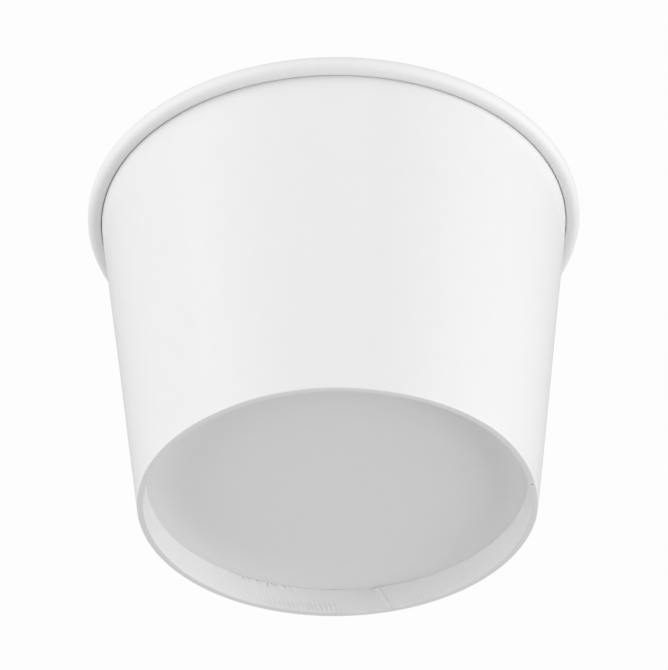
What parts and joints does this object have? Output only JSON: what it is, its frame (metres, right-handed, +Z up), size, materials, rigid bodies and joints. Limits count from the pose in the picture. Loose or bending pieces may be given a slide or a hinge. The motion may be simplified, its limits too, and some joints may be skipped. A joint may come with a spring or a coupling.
{
  "type": "paper soup bowl",
  "caption": "Round tapered paperboard bowl with a rolled rim, a lapped side seam and a recessed bottom held in a folded foot.",
  "frame": {"origin": "centre of the foot ring, in the plane that the bowl stands on", "axes": "+Z up along the bowl's axis, towards the open rim; the lapped side seam is at the back, a little to +X of +Y"},
  "size_m": [0.115, 0.115, 0.0822],
  "materials": {
    "wall_board": "satin",
    "bottom_board": "satin"
  },
  "bodies": {
    "root": {"sidewall": "wall_board", "bottom": "bottom_board"}
  },
  "joints": []
}
